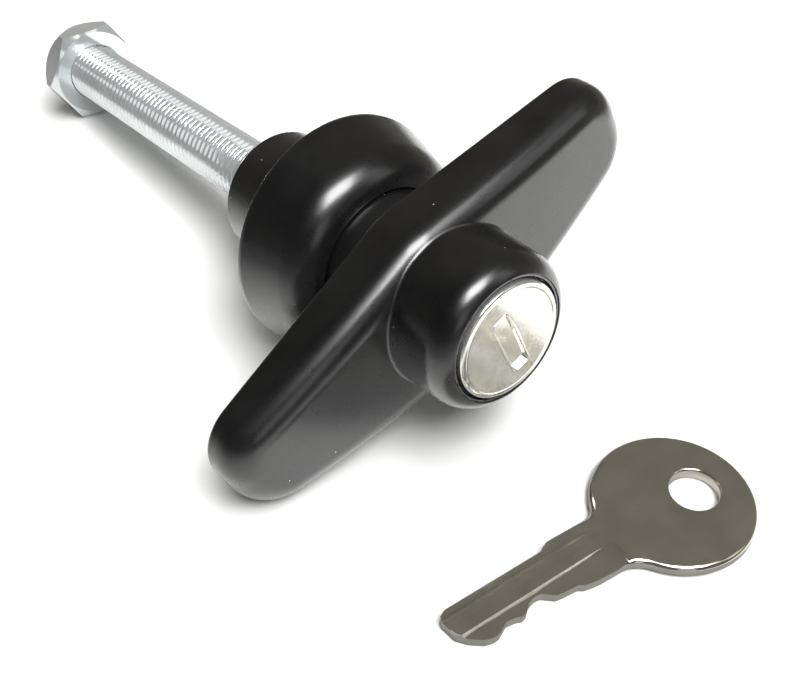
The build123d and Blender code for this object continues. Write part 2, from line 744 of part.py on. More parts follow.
# Key: round bow, stepped neck, milled blade with its cuts along the near edge
with BuildPart() as key:
    with BuildSketch(key_table):
        with BuildLine():
            Polyline(key_blade_outline, close=True)
        make_face()
        with Locations((key_bow_x, 0)):
            Circle(key_bow_radius)
        with Locations((key_hole_x, key_hole_y)):
            Circle(key_hole_radius, mode=Mode.SUBTRACT)
    extrude(amount=key_thickness)
    bow_edges = key.edges().filter_by(GeomType.CIRCLE)
    chamfer(bow_edges, length=key_edge)
    # A groove along the back of the blade and a thinner step along its cuts
    with BuildSketch(key_table.offset(key_thickness)):
        with BuildLine():
            Polyline(
                (2 * key_tip_x, key_groove_top),
                (key_groove_end, key_groove_top),
                (key_groove_end + key_groove_point, key_groove_point_y),
                (key_groove_end, key_groove_low),
                (key_tip_x, key_groove_low_at_tip),
                (2 * key_tip_x, key_groove_low_at_tip),
                close=True,
            )
        make_face()
    extrude(amount=-key_groove_depth, mode=Mode.SUBTRACT)
    with BuildSketch(key_table.offset(key_thickness)):
        with BuildLine():
            Polyline(
                (2 * key_tip_x, 0),
                (key_tip_x, 0),
                (key_step_end, -key_step_drop),
                (key_step_end, -2 * key_bow_radius),
                (2 * key_tip_x, -2 * key_bow_radius),
                close=True,
            )
        make_face()
    extrude(amount=-key_groove_depth, mode=Mode.SUBTRACT)
save(key, "key")
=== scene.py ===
import json
import math
from types import SimpleNamespace

import bmesh
import bpy
import numpy as np
from mathutils import Matrix, Vector
from mathutils.geometry import tessellate_polygon


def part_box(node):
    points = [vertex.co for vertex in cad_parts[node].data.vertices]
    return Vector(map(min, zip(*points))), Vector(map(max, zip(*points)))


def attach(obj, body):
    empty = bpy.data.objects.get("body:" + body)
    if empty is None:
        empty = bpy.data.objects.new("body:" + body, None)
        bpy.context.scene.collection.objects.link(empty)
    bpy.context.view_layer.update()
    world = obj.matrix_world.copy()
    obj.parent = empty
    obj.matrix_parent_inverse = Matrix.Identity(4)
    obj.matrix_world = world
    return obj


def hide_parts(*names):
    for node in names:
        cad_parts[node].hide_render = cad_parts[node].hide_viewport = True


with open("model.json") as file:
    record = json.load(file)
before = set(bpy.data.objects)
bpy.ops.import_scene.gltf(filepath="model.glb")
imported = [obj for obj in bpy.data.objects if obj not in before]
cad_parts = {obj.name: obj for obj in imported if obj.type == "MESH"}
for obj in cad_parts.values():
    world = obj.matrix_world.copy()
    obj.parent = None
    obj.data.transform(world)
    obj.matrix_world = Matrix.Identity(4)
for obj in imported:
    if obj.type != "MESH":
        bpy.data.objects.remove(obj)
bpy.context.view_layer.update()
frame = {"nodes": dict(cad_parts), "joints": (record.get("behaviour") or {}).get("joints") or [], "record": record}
mm = 0.001
hairline = 0.05  # mm between an edge and the ring that keeps it crisp
fineEdge = 0.05  # mm of rounding on an edge that is cut sharp

# Directions of the lock, read from its joints: the nose, across the bar and along the bar
joints = {joint["name"]: joint for joint in frame["joints"]}
nose = np.array(joints["handle_spin"]["axis"])
acrossBar = np.array(joints["shutter_swing"]["axis"])
alongBar = np.cross(acrossBar, nose)
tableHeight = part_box("nut")[0].z  # the nut lies on a flat
print("frame loaded, table at", round(tableHeight / mm, 2), "mm")


# Points given as (along the bar, across it, station on the axis) in mm become metres in the frame
def toWorld(points):
    points = np.asarray(points, float)
    return mm * (points[..., 0:1] * alongBar + points[..., 1:2] * acrossBar + points[..., 2:3] * nose)


# One finish, smooth shading, and sharp edges where faces meet at a larger angle
def finishMesh(mesh, finish, sharpDegrees=40):
    mesh.materials.clear()
    mesh.materials.append(finishes[finish])
    mesh.shade_smooth()
    mesh.set_sharp_from_angle(angle=math.radians(sharpDegrees))


def addObject(name, data):
    made = bpy.data.objects.new(name, data)
    bpy.context.scene.collection.objects.link(made)
    return made


# An object of the mesh that rides on a body in place of its CAD node
def settle(name, mesh, body, node):
    piece = addObject(name, mesh)
    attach(piece, body)
    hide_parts(node)


# A closed skin through rings of equal count; the last ring meets the first one again
def ringMesh(name, rings):
    rings = np.asarray(rings, float)
    ringCount, pointCount = rings.shape[:2]
    points = toWorld(rings).reshape(-1, 3)
    row, column = np.meshgrid(np.arange(ringCount), np.arange(pointCount), indexing="ij")
    nextRow, nextColumn = (row + 1) % ringCount, (column + 1) % pointCount
    corners = (row * pointCount + column, row * pointCount + nextColumn,
               nextRow * pointCount + nextColumn, nextRow * pointCount + column)
    faces = np.stack(corners, -1).reshape(-1, 4)
    a, b, c, d = (points[faces[:, k]] for k in range(4))
    volume = (a * (np.cross(b, c) + np.cross(c, d))).sum()
    if volume < 0:
        faces = faces[:, ::-1]  # so that they point outwards
    mesh = bpy.data.meshes.new(name)
    mesh.from_pydata(points.tolist(), [], faces.tolist())
    return mesh


# A section of (radius, station, rounding) corners becomes points with round corners and crisp edges
def sectionPoints(corners, arcSteps=8, longest=1.2, closed=True):
    outline = []
    for index, (radius, station, rounding) in enumerate(corners):
        here = np.array([radius, station])
        isEnd = not closed and index in (0, len(corners) - 1)
        if rounding == 0 or isEnd:
            outline.append(here)
            continue
        before = np.array(corners[index - 1][:2]) - here
        after = np.array(corners[(index + 1) % len(corners)][:2]) - here
        before, after = before / np.linalg.norm(before), after / np.linalg.norm(after)
        halfAngle = math.acos(np.clip(before @ after, -1, 1)) / 2
        centre = here + (before + after) / np.linalg.norm(before + after) * rounding / math.sin(halfAngle)
        start = here + before * rounding / math.tan(halfAngle) - centre
        end = here + after * rounding / math.tan(halfAngle) - centre
        sweep = math.pi - 2 * halfAngle
        for step in range(arcSteps + 1):
            share = step / arcSteps
            blend = (math.sin((1 - share) * sweep) * start + math.sin(share * sweep) * end) / math.sin(sweep)
            outline.append(centre + blend)
    points = []
    last = len(outline) if closed else len(outline) - 1
    for index in range(last):
        start, end = outline[index], outline[(index + 1) % len(outline)]
        length = np.linalg.norm(end - start)
        points.append(start)
        if length > 8 * hairline:
            inner = max(1, math.ceil(length / longest))
            middle = [step / inner for step in range(1, inner)]
            for share in (hairline / length, *middle, 1 - hairline / length):
                points.append(start + (end - start) * share)
    if not closed:
        points.append(outline[-1])
    return points


# Profile of a leaning wall whose rounding ends at a mouth: (radius, station) points from the wall's foot on
def domePoints(foot, lean, rounding, mouth, front, wallSteps=8, arcSteps=24):
    slope, cosine = math.tan(math.radians(lean)), math.cos(math.radians(lean))

    # Centre on the line parallel to the wall, at the rounding's distance from the mouth's corner
    def centreAt(station):
        return foot[0] - (station - foot[1]) * slope - rounding / cosine

    low, high = front - rounding, front
    for attempt in range(60):
        station = (low + high) / 2
        if math.hypot(mouth - centreAt(station), front - station) > rounding:
            low = station
        else:
            high = station
    radius = centreAt(station)
    first = math.radians(lean)
    last = math.acos(max(-1, min(1, (mouth - radius) / rounding)))
    wallEnd = station + rounding * math.sin(first)
    points = []
    for step in range(wallSteps):
        here = foot[1] + (wallEnd - foot[1]) * step / wallSteps
        points.append((foot[0] - (here - foot[1]) * slope, here))
    for step in range(arcSteps + 1):
        turn = first + (last - first) * step / arcSteps
        points.append((radius + rounding * math.cos(turn), station + rounding * math.sin(turn)))
    return points


# Rings round the axis at given directions: the radius and the station may change along a ring
def ringMaker(cosine, sine):
    def ring(radius, station):
        radius, station = np.broadcast_to(radius, len(cosine)), np.broadcast_to(station, len(cosine))
        return np.stack([radius * cosine, radius * sine, station], -1)

    return ring


# A piece turned on the lathe from a section of (radius, station) points
def turnedMesh(name, section, count):
    angles = 2 * math.pi * np.arange(count) / count
    ring = ringMaker(np.cos(angles), np.sin(angles))
    return ringMesh(name, [ring(radius, station) for radius, station in section])


# A node tree with number inputs, and its two end nodes
def newTree(name, kind, numbers, sockets):
    tree = bpy.data.node_groups.new(name, kind)
    for socket, value in numbers.items():
        made = tree.interface.new_socket(socket, in_out="INPUT", socket_type="NodeSocketFloat")
        made.default_value = value
    for socket, way, holds in sockets:
        tree.interface.new_socket(socket, in_out=way, socket_type="NodeSocket" + holds)
    return tree, tree.nodes.new("NodeGroupInput"), tree.nodes.new("NodeGroupOutput")


# Sets a node's inputs to plain values, or links them to other nodes' outputs
def setInputs(node, values):
    for socket, value in values.items():
        if isinstance(value, bpy.types.NodeSocket):
            node.id_data.links.new(value, node.inputs[socket])
        else:
            node.inputs[socket].default_value = value


def addNode(tree, kind, values=None, **settings):
    node = tree.nodes.new(kind)
    for key, value in settings.items():
        setattr(node, key, value)
    setInputs(node, values or {})
    return node


def calculate(tree, operation, *values):
    return addNode(tree, "ShaderNodeMath", dict(enumerate(values)), operation=operation).outputs[0]


def vectorResult(tree, operation, *values):
    node = addNode(tree, "ShaderNodeVectorMath", dict(enumerate(values)), operation=operation)
    return node.outputs["Value"]


# A change from one level to another as a value goes over a range
def addRamp(tree, value, fromMin, fromMax, toMin, toMax, way="SMOOTHSTEP"):
    values = {"Value": value, "From Min": fromMin, "From Max": fromMax, "To Min": toMin, "To Max": toMax}
    return addNode(tree, "ShaderNodeMapRange", values, interpolation_type=way).outputs[0]


def mixColours(tree, factor, first, second):
    values = {"Factor": factor, "A": first, "B": second}
    return addNode(tree, "ShaderNodeMix", values, data_type="RGBA").outputs["Result"]


# Slow mottling of a finish, from a noise in mm
def makeMottle():
    tree, start, end = newTree(
        "finishMottle", "ShaderNodeTree", {"Size mm": 3.0, "Detail": 3.0, "Low": 0.0, "High": 1.0},
        [("Value", "OUTPUT", "Float"), ("Height", "OUTPUT", "Float")])
    place = addNode(tree, "ShaderNodeTexCoord").outputs["Object"]
    scale = calculate(tree, "DIVIDE", 1 / mm, start.outputs["Size mm"])
    noise = addNode(tree, "ShaderNodeTexNoise", {
        "Vector": place, "Scale": scale, "Detail": start.outputs["Detail"], "Roughness": 0.55}).outputs[0]
    spread = addRamp(tree, noise, 0.3, 0.7, start.outputs["Low"], start.outputs["High"], "LINEAR")
    setInputs(end, {"Value": spread, "Height": noise})
    return tree


# Sparse specks, such as dust on paint or pits in plate: 1 on a speck and 0 off it
def makeSpecks():
    tree, start, end = newTree(
        "finishSpecks", "ShaderNodeTree", {"Spacing mm": 2.0, "Share": 0.2, "Size": 0.08},
        [("Mask", "OUTPUT", "Float")])
    place = addNode(tree, "ShaderNodeTexCoord").outputs["Object"]
    scale = calculate(tree, "DIVIDE", 1 / mm, start.outputs["Spacing mm"])
    cells = addNode(tree, "ShaderNodeTexVoronoi", {"Vector": place, "Scale": scale}).outputs
    draw = addNode(tree, "ShaderNodeSeparateColor", {0: cells["Color"]}).outputs[0]
    near = calculate(tree, "LESS_THAN", cells["Distance"], start.outputs["Size"])
    chosen = calculate(tree, "LESS_THAN", draw, start.outputs["Share"])
    setInputs(end, {"Mask": calculate(tree, "MULTIPLY", near, chosen)})
    return tree


mottleGroup, specksGroup = makeMottle(), makeSpecks()


# A finish: two colours mixed by mottling, specks of a third, and the shader's own plain values
def makeFinish(name, look):
    material = bpy.data.materials.new(name)
    material.use_nodes = True
    tree = material.node_tree
    tint = addNode(tree, "ShaderNodeGroup", look["tint"], node_tree=mottleGroup).outputs
    gloss = addNode(tree, "ShaderNodeGroup", look["gloss"], node_tree=mottleGroup).outputs
    specks = addNode(tree, "ShaderNodeGroup", look["specks"], node_tree=specksGroup).outputs
    colour = mixColours(tree, tint["Value"], (*look["dark"], 1), (*look["light"], 1))
    colour = mixColours(tree, specks["Mask"], colour, (*look["speck"], 1))
    relief = calculate(tree, "MULTIPLY_ADD", specks["Mask"], look["speckHeight"], gloss["Height"])
    bump = addNode(tree, "ShaderNodeBump", {
        "Strength": look["bump"], "Distance": look["bumpDepth"] * mm, "Height": relief}).outputs[0]
    setInputs(tree.nodes["Principled BSDF"], {
        **look["shader"], "Base Color": colour, "Roughness": gloss["Value"], "Normal": bump})
    return material


finishLooks = {
    "blackPaint": {
        "dark": (0.004, 0.004, 0.0045), "light": (0.010, 0.010, 0.0105), "speck": (0.60, 0.58, 0.55),
        "tint": {"Size mm": 9.0}, "gloss": {"Size mm": 1.6, "Low": 0.26, "High": 0.34},
        "specks": {"Spacing mm": 2.4, "Share": 0.30, "Size": 0.040},
        "speckHeight": 0.3, "bump": 0.08, "bumpDepth": 0.04,
        "shader": {"IOR": 1.5, "Coat Weight": 1.0, "Coat Roughness": 0.21, "Coat IOR": 1.6},
    },
    "zincPlate": {
        "dark": (0.84, 0.88, 0.89), "light": (0.93, 0.97, 0.98), "speck": (0.55, 0.55, 0.53),
        "tint": {"Size mm": 4.0}, "gloss": {"Size mm": 2.5, "Low": 0.07, "High": 0.11},
        "specks": {"Spacing mm": 1.5, "Share": 0.1, "Size": 0.05},
        "speckHeight": -0.6, "bump": 0.02, "bumpDepth": 0.04, "shader": {"Metallic": 0.70},
    },
    "capPlate": {
        "dark": (0.80, 0.79, 0.72), "light": (0.92, 0.91, 0.86), "speck": (0.55, 0.53, 0.46),
        "tint": {"Size mm": 1.6, "Detail": 5.0},
        "gloss": {"Size mm": 0.5, "Detail": 5.0, "Low": 0.08, "High": 0.18},
        "specks": {"Spacing mm": 0.6, "Share": 0.25, "Size": 0.12},
        "speckHeight": -0.5, "bump": 0.13, "bumpDepth": 0.04, "shader": {"Metallic": 0.88},
    },
    "rimPlate": {
        "dark": (0.86, 0.85, 0.81), "light": (0.94, 0.93, 0.90), "speck": (0.55, 0.53, 0.48),
        "tint": {"Size mm": 3.0}, "gloss": {"Size mm": 1.0, "Low": 0.06, "High": 0.12},
        "specks": {"Spacing mm": 1.4, "Share": 0.15, "Size": 0.06},
        "speckHeight": -0.4, "bump": 0.06, "bumpDepth": 0.03, "shader": {"Metallic": 0.85},
    },
    "keyPlate": {
        "dark": (0.61, 0.58, 0.50), "light": (0.75, 0.72, 0.635), "speck": (0.92, 0.91, 0.88),
        "tint": {"Size mm": 5.0}, "gloss": {"Size mm": 1.2, "Detail": 6.0, "Low": 0.07, "High": 0.16},
        "specks": {"Spacing mm": 1.6, "Share": 0.35, "Size": 0.05},
        "speckHeight": -0.8, "bump": 0.16, "bumpDepth": 0.04, "shader": {"Metallic": 0.92},
    },
    # Cast zinc, far darker than plate: the dark tone also paints the shade of the narrow gap round the cap
    "castZincPaintedShade": {
        "dark": (0.16, 0.16, 0.17), "light": (0.26, 0.26, 0.27), "speck": (0.60, 0.60, 0.60),
        "tint": {"Size mm": 1.2, "Detail": 5.0},
        "gloss": {"Size mm": 0.6, "Detail": 5.0, "Low": 0.22, "High": 0.38},
        "specks": {"Spacing mm": 0.9, "Share": 0.25, "Size": 0.08},
        "speckHeight": -0.5, "bump": 0.15, "bumpDepth": 0.04, "shader": {"Metallic": 1.0},
    },
    "plainSteel": {
        "dark": (0.42, 0.43, 0.44), "light": (0.55, 0.56, 0.57), "speck": (0.30, 0.30, 0.30),
        "tint": {"Size mm": 2.0}, "gloss": {"Size mm": 0.6, "Low": 0.22, "High": 0.36},
        "specks": {"Spacing mm": 1.2, "Share": 0.2, "Size": 0.06},
        "speckHeight": -0.5, "bump": 0.12, "bumpDepth": 0.04, "shader": {"Metallic": 1.0},
    },
    "springSteel": {
        "dark": (0.25, 0.25, 0.27), "light": (0.38, 0.38, 0.40), "speck": (0.20, 0.18, 0.16),
        "tint": {"Size mm": 1.5}, "gloss": {"Size mm": 0.5, "Low": 0.20, "High": 0.32},
        "specks": {"Spacing mm": 1.0, "Share": 0.2, "Size": 0.06},
        "speckHeight": -0.5, "bump": 0.10, "bumpDepth": 0.03, "shader": {"Metallic": 1.0},
    },
    "plainBrass": {
        "dark": (0.60, 0.44, 0.19), "light": (0.78, 0.61, 0.32), "speck": (0.36, 0.26, 0.13),
        "tint": {"Size mm": 2.2}, "gloss": {"Size mm": 0.6, "Low": 0.20, "High": 0.34},
        "specks": {"Spacing mm": 1.2, "Share": 0.2, "Size": 0.06},
        "speckHeight": -0.5, "bump": 0.12, "bumpDepth": 0.04, "shader": {"Metallic": 1.0},
    },
}
finishes = {name: makeFinish(name, look) for name, look in finishLooks.items()}
print("finishes made:", len(finishes))

# Carried-over nodes keep their shapes and take these finishes
finishOfSlot = {"black_paint": "blackPaint", "zinc_plate": "zincPlate", "cap_plate": "capPlate",
                "nickel_plate": "keyPlate", "steel": "plainSteel", "spring_steel": "springSteel",
                "brass": "plainBrass"}
# The housing's ring takes the darkened zinc, partly painted shade of the gap round the cap
finishOfNode = {"housing": "castZincPaintedShade"}
for row in frame["record"]["subparts"]:
    node = frame["nodes"][row["node"]]
    node.data.materials.clear()
    finish = finishOfNode.get(row["node"], finishOfSlot[row["material_slot"]])
    node.data.materials.append(finishes[finish])

# Bell: a turned cover with a broad rounded front
bellSizes = SimpleNamespace(
    radius=18.0, rimLand=0.8, landRing=0.6, rimEdge=0.25, lean=16.0, height=11.3, frontRounding=6.0,
    mouthRadius=11.35, mouthEdge=0.15, mouthDepth=0.9, bore=10.97, boreRear=3.5, ringRecess=12.29,
    flangeRecess=13.92, flangeFront=1.8, mouthRounding=0.1, boreRounding=0.08, segments=288)


def makeBell(size):
    mouth, mouthFloor = size.mouthRadius - size.mouthEdge, size.height - size.mouthDepth
    foot = (size.radius, size.rimLand)
    dome = domePoints(foot, size.lean, size.frontRounding, size.mouthRadius, size.height)
    section = sectionPoints([
        (size.radius, 0, size.rimEdge),
        (size.radius, size.landRing, 0),
        *[(radius, station, 0) for radius, station in dome],
        (mouth, size.height, size.mouthRounding),
        (mouth, mouthFloor, fineEdge),
        (size.bore, mouthFloor, size.boreRounding),
        (size.bore, size.boreRear, 0),
        (size.ringRecess, size.boreRear, 0),
        (size.ringRecess, size.flangeFront, 0),
        (size.flangeRecess, size.flangeFront, 0),
        (size.flangeRecess, 0, fineEdge),
    ])
    return turnedMesh("bell_smooth", section, size.segments)


bellMesh = makeBell(bellSizes)
finishMesh(bellMesh, "blackPaint")
settle("bell_smooth", bellMesh, "mounting", "bell")

# Collar: the flanged bush behind the bell
collarSizes = SimpleNamespace(
    radius=9.85, rear=-15.7, edge=0.4, flangeRadius=13.9, flangeRear=0.2, flangeFront=1.8, bore=8.6,
    floorFront=-13.2, studBore=5.07, studBoreEdge=0.15, segments=224)


def makeCollar(size):
    section = sectionPoints([
        (size.radius, size.rear, size.edge),
        (size.radius, size.flangeRear, 0),
        (size.flangeRadius, size.flangeRear, 0),
        (size.flangeRadius, size.flangeFront, 0),
        (size.bore, size.flangeFront, 0),
        (size.bore, size.floorFront, 0),
        (size.studBore, size.floorFront, 0),
        (size.studBore, size.rear, size.studBoreEdge),
    ])
    return turnedMesh("collar_smooth", section, size.segments)


collarMesh = makeCollar(collarSizes)
finishMesh(collarMesh, "blackPaint")
settle("collar_smooth", collarMesh, "mounting", "collar")
print("bell and collar made")

# Handle: bar, hub and neck as one skin of rings round the axis
handleSizes = SimpleNamespace(
    barRear=17.1, barFront=25.9, halfLength=37.9, middleRadius=13.7, tipRadius=7.5, tipFlat=2.4,
    tipSetback=2.7, draft=2.0, rearEdge=0.5, frontRounding=4.1, hubRadius=11.75, hubDraft=1.5, hubNose=35.9,
    noseRounding=4.0, hubBore=9.25, seam=0.4, housingRear=16.4, neckRadius=10.9, neckBore=8.4, neckEnd=2.0,
    lipRadius=6.8, lipFront=3.2, keyWidth=3.2, keyReach=9.7, grooveRadius=10.15, grooveRear=2.6,
    grooveFront=3.42, neckFillet=0.4, mouthEdge=0.12, noseChamfer=0.1, neckEdge=0.15, frontSteps=60,
    roundCrowding=3, segments=512)


def makeHandle(size):
    count = size.segments
    angles = 2 * math.pi * (np.arange(count) + 0.5) / count
    cosine, sine = np.cos(angles), np.sin(angles)
    ring = ringMaker(cosine, sine)
    folded = np.arctan2(np.abs(sine), np.abs(cosine))
    tipX, tipY = size.halfLength - size.tipRadius, size.tipFlat / 2
    reach = math.hypot(tipX, tipY)
    lean = math.atan2(tipY, tipX) + math.acos((size.middleRadius - size.tipRadius) / reach)
    draft = math.tan(math.radians(size.draft))
    frontCurve = (size.halfLength**2 + size.tipSetback**2) / (2 * size.tipSetback)
    rounding = size.frontRounding

    # Distance from the axis to the bar's outline, drawn in by an inset
    def outline(inset):
        tip, middle = size.tipRadius - inset, size.middleRadius - inset
        flatAngle = np.arctan2(tipY, tipX + tip)
        lineAngle = np.arctan2(tipY + tip * math.sin(lean), tipX + tip * math.cos(lean))
        flat = (tipX + tip) / np.cos(folded)
        towards = tipX * np.cos(folded) + tipY * np.sin(folded)
        arc = towards + np.sqrt(np.maximum(towards**2 - reach**2 + tip**2, 0))
        line = middle / np.cos(np.minimum(folded, lean) - lean)
        inner = np.where(folded < lineAngle, arc, line)
        return np.where(folded < flatAngle, flat, inner)

    def front(radius):
        return size.barFront - frontCurve + np.sqrt(frontCurve**2 - (radius * cosine) ** 2)

    def hubAt(station):
        return size.hubRadius - (station - size.barFront) * math.tan(math.radians(size.hubDraft))

    rings = []
    # Rear face and its edge
    neckSeam = size.neckRadius + size.neckFillet
    rearOuter = outline(size.rearEdge)
    for step in range(9):
        share = 0.995 * step / 8  # just short of the edge's own first ring
        rings.append(ring(neckSeam + (rearOuter - neckSeam) * share, size.barRear))
    for step in range(7):
        turn = math.pi / 2 * step / 6
        rise = size.rearEdge * (1 - math.cos(turn))
        inset = size.rearEdge * (1 - math.sin(turn)) + rise * draft
        rings.append(ring(outline(inset), size.barRear + rise))
    # Side wall, the front rounding and the front face, as far as the hub
    start = math.radians(size.draft)
    inner = np.full(count, rounding)
    for attempt in range(4):  # each depends on the other, so they are found by turns
        station = front(outline(inner)) - rounding
        inner = (station - size.barRear) * draft + rounding / math.cos(start)
    sideInset = inner - rounding * math.cos(start)
    sideTop = front(outline(sideInset)) - rounding * (1 - math.sin(start))
    sideBottom = size.barRear + size.rearEdge
    for step in range(1, 8):
        station = sideBottom + (sideTop - sideBottom) * step / 8
        rings.append(ring(outline((station - size.barRear) * draft), station))
    # Where the hub's wall meets the bar's front
    hubStation = np.full(count, size.barFront)
    for attempt in range(5):
        hubEdge = hubAt(hubStation) + size.seam
        hubInset = size.middleRadius - hubEdge * np.cos(np.minimum(folded, lean) - lean)
        endTurn = np.arccos(np.clip((inner - hubInset) / rounding, 0, 1))
        edgeStation = front(hubEdge) - rounding * (1 - np.sin(endTurn))
        cornerInset = size.middleRadius - hubAt(hubStation) * np.cos(np.minimum(folded, lean) - lean)
        cornerTurn = np.arccos(np.clip((inner - cornerInset) / rounding, 0, 1))
        hubStation = front(hubAt(hubStation)) - rounding * (1 - np.sin(cornerTurn))
    # Rings from the wall to the hub, crowded on the rounding and sparse on the flat
    crowding = size.roundCrowding
    roundLength = crowding * rounding * (endTurn - start)
    flatOuter = outline(inner)
    flatLength = np.where(endTurn > math.pi / 2 - 1e-6, np.maximum(flatOuter - hubEdge, 0), 0)
    total = roundLength + flatLength
    split = np.minimum(roundLength / total, 0.7)
    for step in range(size.frontSteps + 1):
        share = step / size.frontSteps
        along = np.where(share < 0.5, split * share * 2, split + (1 - split) * (share * 2 - 1)) * total
        turn = np.minimum(start + along / (crowding * rounding), endTurn)
        radius = np.where(along <= roundLength, outline(inner - rounding * np.cos(turn)),
                          flatOuter - (along - roundLength))
        radius = np.maximum(radius, hubEdge)
        station = front(radius) - rounding * (1 - np.sin(turn))
        rings.append(ring(radius, station))
    # Small seam between the bar and the hub
    corner = (hubAt(hubStation), hubStation)
    wallStart = (hubAt(hubStation + size.seam), hubStation + size.seam)
    for step in range(1, 7):
        share = step / 6
        weights = ((1 - share) ** 2, 2 * share * (1 - share), share**2)
        radius = weights[0] * hubEdge + weights[1] * corner[0] + weights[2] * wallStart[0]
        station = weights[0] * edgeStation + weights[1] * corner[1] + weights[2] * wallStart[1]
        rings.append(ring(radius, station))
    # Hub wall, nose and bores
    dome = domePoints((size.hubRadius, size.barFront), size.hubDraft, size.noseRounding,
                      size.hubBore + size.mouthEdge, size.hubNose, wallSteps=4)
    wallTop = dome[4][1]
    for step in range(1, 8):
        station = wallStart[1] + (wallTop - wallStart[1]) * step / 8
        rings.append(ring(hubAt(station), station))
    rings += [ring(radius, station) for radius, station in dome[4:]]
    inside = sectionPoints([
        (size.hubBore + size.mouthEdge / 2, size.hubNose + 0.01, 0),
        (size.hubBore, size.hubNose - size.noseChamfer, 0),
        (size.hubBore, size.housingRear, 0),
    ], closed=False)
    rings += [ring(radius, station) for radius, station in inside]
    # The bore of the neck, with its two keyways
    keyed = np.abs(size.neckBore * sine) < size.keyWidth / 2
    neckBore = np.where(keyed, size.keyReach / np.maximum(np.abs(cosine), 0.5), size.neckBore)
    neckBore = np.minimum(neckBore, size.hubBore + 0.6)
    rings.append(ring(np.maximum(neckBore, size.neckBore), size.housingRear))
    rings.append(ring(neckBore, size.housingRear - hairline))
    rings.append(ring(neckBore, size.lipFront))
    behind = sectionPoints([
        (size.lipRadius, size.lipFront, 0),
        (size.lipRadius, size.neckEnd, 0),
        (size.neckRadius, size.neckEnd, size.neckEdge),
        (size.neckRadius, size.grooveRear, 0),
        (size.grooveRadius, size.grooveRear, 0),
        (size.grooveRadius, size.grooveFront, 0),
        (size.neckRadius, size.grooveFront, 0),
        (size.neckRadius, size.barRear, size.neckFillet),
        (neckSeam + 0.001, size.barRear, 0),
    ], arcSteps=4, closed=False)[:-1]
    rings += [ring(radius, station) for radius, station in behind]
    return ringMesh("handle_smooth", rings)


handleMesh = makeHandle(handleSizes)
finishMesh(handleMesh, "blackPaint")
settle("handle_smooth", handleMesh, "handle", "handle")
print("handle made:", len(handleMesh.polygons), "faces")

# Cap: dished pressing with a bright rim and a lipped key slot
capSizes = SimpleNamespace(
    front=36.3, faceThickness=0.6, radius=8.55, rimWidth=0.9, dish=0.3, skirtRear=34.4, skirtInner=8.05,
    slotWidth=2.7, slotLength=9.9, slotOffset=-0.7, slotCorner=0.5, lipWidth=0.24, lipHeight=0.12,
    lipEdge=0.1, lipFillet=0.06, rimGap=0.04, rimInset=0.12, rimRise=0.04, rimInnerEdge=0.1,
    rimRounding=0.42, backLand=1.0, dishSteps=24, segments=512)


def makeCap(size):
    count = size.segments
    angles = 2 * math.pi * (np.arange(count) + 0.5) / count
    cosine, sine = np.cos(angles), np.sin(angles)
    dishRadius = size.radius - size.rimWidth
    sphere = (dishRadius**2 + size.dish**2) / (2 * size.dish)
    floor = size.front - size.dish

    # Distance from the slot's centre to its outline, grown by a margin
    def slotEdge(margin):
        halfWidth, halfLength = size.slotWidth / 2 + margin, size.slotLength / 2 + margin
        corner = size.slotCorner + margin
        side = halfWidth / np.maximum(np.abs(cosine), 1e-6)
        end = halfLength / np.maximum(np.abs(sine), 1e-6)
        centreX, centreY = halfWidth - corner, halfLength - corner
        towards = centreX * np.abs(cosine) + centreY * np.abs(sine)
        root = np.maximum(towards**2 - centreX**2 - centreY**2 + corner**2, 0)
        bend = towards + np.sqrt(root)
        onSide = side * np.abs(sine) <= centreY
        onEnd = end * np.abs(cosine) <= centreX
        return np.where(onSide, side, np.where(onEnd, end, bend))

    # Distance from the slot's centre to a circle round the axis
    def circle(radius):
        towards = size.slotOffset * sine
        return -towards + np.sqrt(towards**2 - size.slotOffset**2 + radius**2)

    def ring(reach, station):
        x, y = reach * cosine, size.slotOffset + reach * sine
        return np.stack([x, y, np.broadcast_to(station, count)], -1)

    def dishStation(reach):
        x, y = reach * cosine, size.slotOffset + reach * sine
        return floor + sphere - np.sqrt(sphere**2 - x**2 - y**2)

    lipTop = dishStation(slotEdge(0)) + size.lipHeight  # the lip follows the dish
    inner = size.front - size.faceThickness
    lipWidth, edge = size.lipWidth, size.lipEdge
    rings = [ring(slotEdge(0), station) for station in (inner, inner + hairline, lipTop - 1.2 * edge)]
    for step in range(1, 5):
        turn = math.pi / 2 * step / 4
        rings.append(ring(slotEdge(edge * (1 - math.cos(turn))), lipTop - edge * (1 - math.sin(turn))))
    for step in range(5):
        turn = math.pi / 2 * step / 4
        reach = slotEdge(lipWidth - edge + edge * math.sin(turn))
        rings.append(ring(reach, lipTop - edge * (1 - math.cos(turn))))
    # Down to the dish over a small fillet, and along the dish to its edge
    lipFoot, fillet = slotEdge(lipWidth), size.lipFillet
    rings.append(ring(lipFoot, dishStation(lipFoot) + 0.05))
    rings.append(ring(lipFoot + 0.02, dishStation(lipFoot) + 0.015))
    rings.append(ring(lipFoot + fillet, dishStation(lipFoot)))
    dishEdge = circle(dishRadius - size.rimGap)
    for step in range(1, size.dishSteps + 1):
        reach = lipFoot + fillet + (dishEdge - lipFoot - fillet) * step / size.dishSteps
        rings.append(ring(reach, dishStation(reach)))
    rim = sectionPoints([
        (dishRadius, size.front + 0.01, 0),
        (dishRadius + size.rimInset, size.front + size.rimRise, size.rimInnerEdge),
        (size.radius - 0.05, size.front - 0.02, size.rimRounding),
        (size.radius, size.skirtRear, fineEdge),
        (size.skirtInner, size.skirtRear, fineEdge),
        (size.skirtInner, inner, fineEdge),
        (dishRadius - size.backLand, inner, 0),
    ], arcSteps=10, closed=False)
    rings += [ring(circle(radius), station) for radius, station in rim]
    return ringMesh("face_cap_smooth", rings)


capMesh = makeCap(capSizes)
finishMesh(capMesh, "capPlate")
